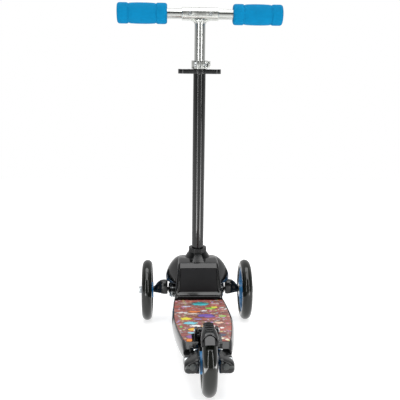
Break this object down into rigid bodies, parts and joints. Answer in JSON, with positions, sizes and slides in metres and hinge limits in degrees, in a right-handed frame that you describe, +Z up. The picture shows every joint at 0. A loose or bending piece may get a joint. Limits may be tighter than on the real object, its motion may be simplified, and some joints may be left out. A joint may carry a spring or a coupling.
{
  "type": "three-wheeled kick scooter",
  "caption": "Child's lean-to-steer kick scooter with twin front wheels, braked rear wheel, telescopic T-bar and foam grips.",
  "frame": {"origin": "on the floor under the middle of the scooter's length and width, as it stands on its three wheels", "axes": "+Y the way it rolls, +X to the rider's right, +Z up"},
  "size_m": [0.29, 0.513, 0.5932],
  "materials": {
    "black_plastic": "moulded satin black",
    "gloss_black_plastic": "moulded gloss black",
    "printed_sheet": "printed anti-slip film",
    "black_paint": "gloss black powder coat",
    "polished_alloy": "polished",
    "bright_steel": "bright plated",
    "zinc_steel": "zinc plated",
    "spring_steel": "oiled spring steel",
    "blue_foam": "closed-cell foam",
    "tyre_black": "glossy cast polyurethane",
    "blue_core": "moulded blue",
    "nylon": "natural nylon"
  },
  "bodies": {
    "chassis": {"deck_shell": "black_plastic", "deck_grip_sheet": "printed_sheet", "socket": "black_plastic", "front_hood": "gloss_black_plastic", "hood_panel": "gloss_black_plastic", "hood_screws": "zinc_steel", "outer_tube": "black_paint", "grip_holder": "black_plastic", "clamp_collar": "polished_alloy", "clamp_bolt": "zinc_steel", "cross_beam": "black_paint", "beam_bolts": "zinc_steel", "kingpin_bolts": "zinc_steel", "kingpin_washers": "zinc_steel", "kingpin_nuts": "zinc_steel", "centring_springs": "spring_steel", "socket_screws": "zinc_steel", "axle_housings": "black_plastic", "housing_screws": "zinc_steel", "rear_axle_bolt": "zinc_steel", "rear_axle_nut": "zinc_steel", "brake_bracket": "black_plastic", "brake_pin": "zinc_steel", "brake_spring": "spring_steel", "lever_pin": "zinc_steel"},
    "stem": {"inner_tube": "bright_steel", "t_head": "polished_alloy", "grip_tubes": "bright_steel", "end_plugs": "black_plastic", "button_springs": "spring_steel", "grip_left": "blue_foam", "grip_right": "blue_foam"},
    "left_button": {"button_left": "zinc_steel"},
    "right_button": {"button_right": "zinc_steel"},
    "lever": {"clamp_lever": "polished_alloy"},
    "left_knuckle": {"knuckle_left": "black_plastic", "kingpin_bush_left": "nylon", "axle_bolt_left": "zinc_steel", "tie_pin_left": "zinc_steel"},
    "right_knuckle": {"knuckle_right": "black_plastic", "kingpin_bush_right": "nylon", "axle_bolt_right": "zinc_steel", "tie_pin_right": "zinc_steel"},
    "steering_link": {"tie_rod": "black_paint"},
    "left_front_wheel": {"tyre_front_left": "tyre_black", "core_front_left": "blue_core", "bearings_front_left": "zinc_steel"},
    "right_front_wheel": {"tyre_front_right": "tyre_black", "core_front_right": "blue_core", "bearings_front_right": "zinc_steel"},
    "rear_wheel": {"tyre_rear": "tyre_black", "core_rear": "blue_core", "bearings_rear": "zinc_steel"},
    "brake": {"brake_fender": "gloss_black_plastic", "fender_flanges": "gloss_black_plastic", "brake_tread_pad": "gloss_black_plastic"}
  },
  "joints": [
    {"name": "column_height", "type": "slide", "parent": "chassis", "child": "stem", "axis": [0, -0.1805, 0.9836], "range_m": [-0.055, 0.06]},
    {"name": "button_press_left", "type": "slide", "parent": "stem", "child": "left_button", "axis": [0, 0.9836, 0.1805], "range_m": [0, 0.0043], "stiffness_N_per_m": 400, "springref_m": -0.002},
    {"name": "button_press_right", "type": "slide", "parent": "stem", "child": "right_button", "axis": [0, 0.9836, 0.1805], "range_m": [0, 0.0043], "stiffness_N_per_m": 400, "springref_m": -0.002},
    {"name": "clamp_lever_open", "type": "hinge", "parent": "chassis", "child": "lever", "pos_m": [0.0105, 0.06358, 0.48655], "axis": [0, 0.1805, -0.9836], "range_deg": [0, 90]},
    {"name": "steer_left", "type": "hinge", "parent": "chassis", "child": "left_knuckle", "pos_m": [-0.047, 0.1965, 0.0635], "axis": [0, 0.4226, 0.9063], "range_deg": [-16, 16], "stiffness_Nm_per_rad": 2},
    {"name": "steer_right", "type": "hinge", "parent": "chassis", "child": "right_knuckle", "pos_m": [0.047, 0.1965, 0.0635], "axis": [0, 0.4226, 0.9063], "range_deg": [-16, 16], "stiffness_Nm_per_rad": 2},
    {"name": "tie_rod_swing", "type": "hinge", "parent": "left_knuckle", "child": "steering_link", "pos_m": [-0.047, 0.17294, 0.07449], "axis": [0, 0.4226, 0.9063], "range_deg": [-16, 16]},
    {"name": "spin_front_left", "type": "hinge", "parent": "left_knuckle", "child": "left_front_wheel", "pos_m": [-0.098, 0.1965, 0.06], "axis": [1, 0, 0], "continuous": true},
    {"name": "spin_front_right", "type": "hinge", "parent": "right_knuckle", "child": "right_front_wheel", "pos_m": [0.098, 0.1965, 0.06], "axis": [1, 0, 0], "continuous": true},
    {"name": "spin_rear", "type": "hinge", "parent": "chassis", "child": "rear_wheel", "pos_m": [0, -0.2115, 0.045], "axis": [1, 0, 0], "continuous": true},
    {"name": "brake_press", "type": "hinge", "parent": "chassis", "child": "brake", "pos_m": [0, -0.156, 0.073], "axis": [1, 0, 0], "range_deg": [0, 2], "stiffness_Nm_per_rad": 6, "springref_deg": -1.72}
  ],
  "couplings": [
    {"joint": "steer_right", "follows": "steer_left", "ratio": 1},
    {"joint": "tie_rod_swing", "follows": "steer_left", "ratio": -1}
  ]
}
